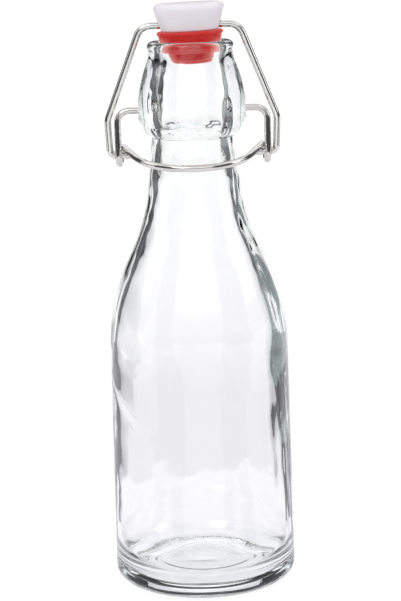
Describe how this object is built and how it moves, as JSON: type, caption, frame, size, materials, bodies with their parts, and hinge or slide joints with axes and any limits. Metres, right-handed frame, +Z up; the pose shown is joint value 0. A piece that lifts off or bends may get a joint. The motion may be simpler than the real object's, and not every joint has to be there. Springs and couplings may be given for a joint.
{
  "type": "swing top bottle",
  "caption": "Clear glass bottle with a plug stopper held by a sprung wire bail and closed by a wire lever with a bow handle.",
  "frame": {"origin": "centre of the base, on the surface it stands on", "axes": "+Z up along the bottle, +X through the right pivot, -Y towards the bow handle"},
  "size_m": [0.0636, 0.0636, 0.2005],
  "materials": {
    "clear_glass": "clear, slightly wavy inside",
    "milky_plastic": "milky satin",
    "red_silicone": "smooth, translucent",
    "bail_steel": "bright drawn wire",
    "lever_steel": "bright drawn wire"
  },
  "bodies": {
    "bottle": {"bottle": "clear_glass"},
    "lever": {"lever_wire": "lever_steel"},
    "bail": {"bail_wire": "bail_steel"},
    "stopper": {"stopper_cap": "milky_plastic", "seal": "red_silicone"}
  },
  "joints": [
    {"name": "lever_pivot", "type": "hinge", "parent": "bottle", "child": "lever", "pos_m": [0, 0, 0.1646], "axis": [-1, 0, 0], "range_deg": [0, 180]},
    {"name": "bail_pivot", "type": "hinge", "parent": "lever", "child": "bail", "pos_m": [0, 0.0008, 0.14928], "axis": [-1, 0, 0], "range_deg": [-120.5, 0]},
    {"name": "stopper_pivot", "type": "hinge", "parent": "bail", "child": "stopper", "pos_m": [0, 0, 0.1928], "axis": [-1, 0, 0], "range_deg": [-60.5, 0]}
  ],
  "couplings": [
    {"joint": "bail_pivot", "follows": "lever_pivot", "ratio": -0.66667},
    {"joint": "stopper_pivot", "follows": "lever_pivot", "ratio": -0.33333}
  ]
}
